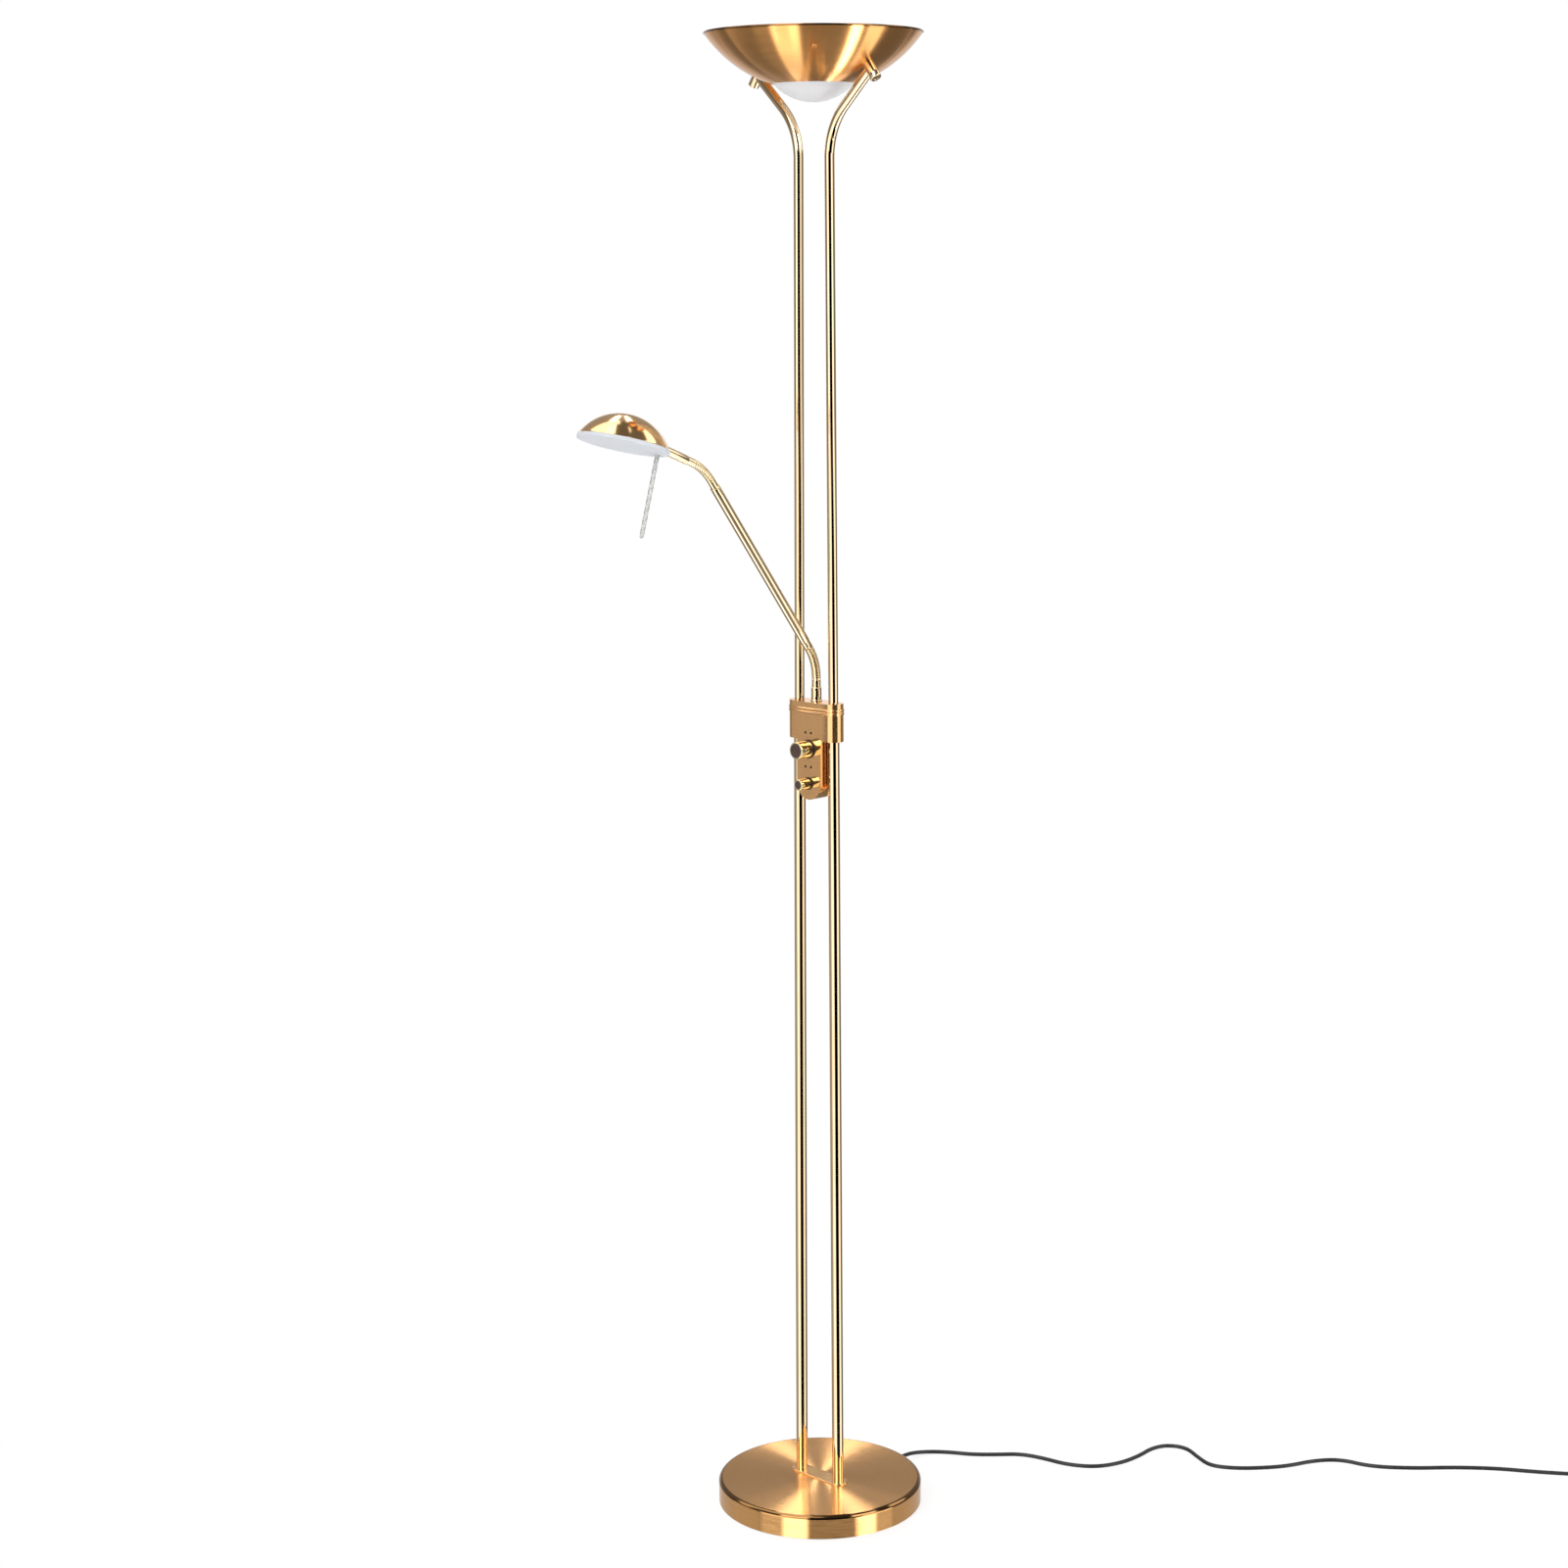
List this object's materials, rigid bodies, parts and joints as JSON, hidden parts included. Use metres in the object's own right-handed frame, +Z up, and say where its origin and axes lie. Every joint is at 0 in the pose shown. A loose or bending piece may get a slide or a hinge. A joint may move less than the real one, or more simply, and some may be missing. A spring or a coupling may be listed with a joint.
{
  "type": "torchiere floor lamp with reading light",
  "caption": "Brass twin-pole torchiere floor lamp with an uplight bowl, two dimmer knobs and a reading light on a bendable arm.",
  "frame": {"origin": "middle of the base's underside, on the floor", "axes": "+Z up; the two poles stand along X; the knobs and the reading arm face -Y; the cord leaves towards +Y"},
  "size_m": [0.8293, 1.2119, 1.8],
  "materials": {
    "base_brass": "satin, circular brushing",
    "dark_brass": "satin",
    "pole_brass": "polished, lacquered",
    "housing_brass": "satin",
    "knob_brass": "polished",
    "knob_cap": "dark, mottled",
    "neck_brass": "polished ribs",
    "shade_brass": "satin outside",
    "bowl_brass": "satin, spun",
    "rivet_brass": "satin",
    "dark_ring": "dark",
    "zinc_steel": "zinc plated",
    "cast_weight": "rough",
    "black_foam": "matt",
    "black_rubber": "matt",
    "black_plastic": "matt",
    "white_plastic": "matt",
    "ceramic_white": "unglazed",
    "frosted_glass": "frosted",
    "clear_glass": "clear, twisted",
    "lamp_glass": "clear",
    "plug_brass": "plain"
  },
  "bodies": {
    "stand": {"base_cover": "base_brass", "base_nuts": "zinc_steel", "base_pad": "black_foam", "base_plate": "zinc_steel", "base_washers": "zinc_steel", "base_weight": "cast_weight", "bowl": "bowl_brass", "bowl_rivets": "rivet_brass", "bowl_screws": "zinc_steel", "coil_tie": "black_plastic", "cord": "black_rubber", "cord_coil": "black_rubber", "cord_relief": "black_rubber", "coupler_screws": "zinc_steel", "dimmer_main": "black_plastic", "dimmer_reading": "black_plastic", "foot_plate": "dark_brass", "glass_dish": "frosted_glass", "housing_back": "housing_brass", "housing_body": "housing_brass", "housing_screws": "zinc_steel", "knob_rings": "dark_ring", "lamp_bracket": "zinc_steel", "lamp_ends": "ceramic_white", "lamp_holders": "ceramic_white", "lamp_tube": "lamp_glass", "lower_pole_left": "pole_brass", "lower_pole_right": "pole_brass", "plate_screws": "zinc_steel", "plug": "black_rubber", "plug_blades": "plug_brass", "pole_couplers": "zinc_steel", "pole_plugs": "zinc_steel", "pole_studs": "zinc_steel", "standoff_left": "pole_brass", "standoff_right": "pole_brass", "terminal_block": "white_plastic", "upper_pole_left": "pole_brass", "upper_pole_right": "pole_brass"},
    "main_knob": {"knob_main": "knob_brass", "knob_cap_main": "knob_cap", "shaft_main": "zinc_steel"},
    "reading_knob": {"knob_reading": "knob_brass", "knob_cap_reading": "knob_cap", "shaft_reading": "zinc_steel"},
    "arm_base": {"arm_socket": "pole_brass", "socket_nut": "zinc_steel", "gooseneck_lower": "neck_brass"},
    "arm": {"arm_tube": "pole_brass", "arm_tube_ends": "zinc_steel", "gooseneck_upper": "neck_brass"},
    "head": {"arm_sleeve": "pole_brass", "reading_shade": "shade_brass", "reading_glass": "frosted_glass", "shade_ring": "zinc_steel", "glass_handle": "clear_glass", "handle_nut": "zinc_steel", "reading_lamp_holder": "ceramic_white", "reading_lamp": "lamp_glass"}
  },
  "joints": [
    {"name": "main_knob_turn", "type": "hinge", "parent": "stand", "child": "main_knob", "pos_m": [0, -0.025, 0.9594], "axis": [0, -1, 0], "range_deg": [-270, 0]},
    {"name": "reading_knob_turn", "type": "hinge", "parent": "stand", "child": "reading_knob", "pos_m": [0, -0.025, 0.9173], "axis": [0, -1, 0], "range_deg": [-270, 0]},
    {"name": "arm_swivel", "type": "hinge", "parent": "stand", "child": "arm_base", "pos_m": [0, 0, 1.016], "axis": [0, 0, 1], "range_deg": [-55, 55]},
    {"name": "arm_tilt", "type": "hinge", "parent": "arm_base", "child": "arm", "pos_m": [0, 0, 1.06516], "axis": [1, 0, 0], "range_deg": [-25, 35], "deforming": ["gooseneck_lower"]},
    {"name": "head_tilt", "type": "hinge", "parent": "arm", "child": "head", "pos_m": [0, -0.18294, 1.3053], "axis": [1, 0, 0], "range_deg": [-45, 45], "deforming": ["gooseneck_upper"]}
  ]
}
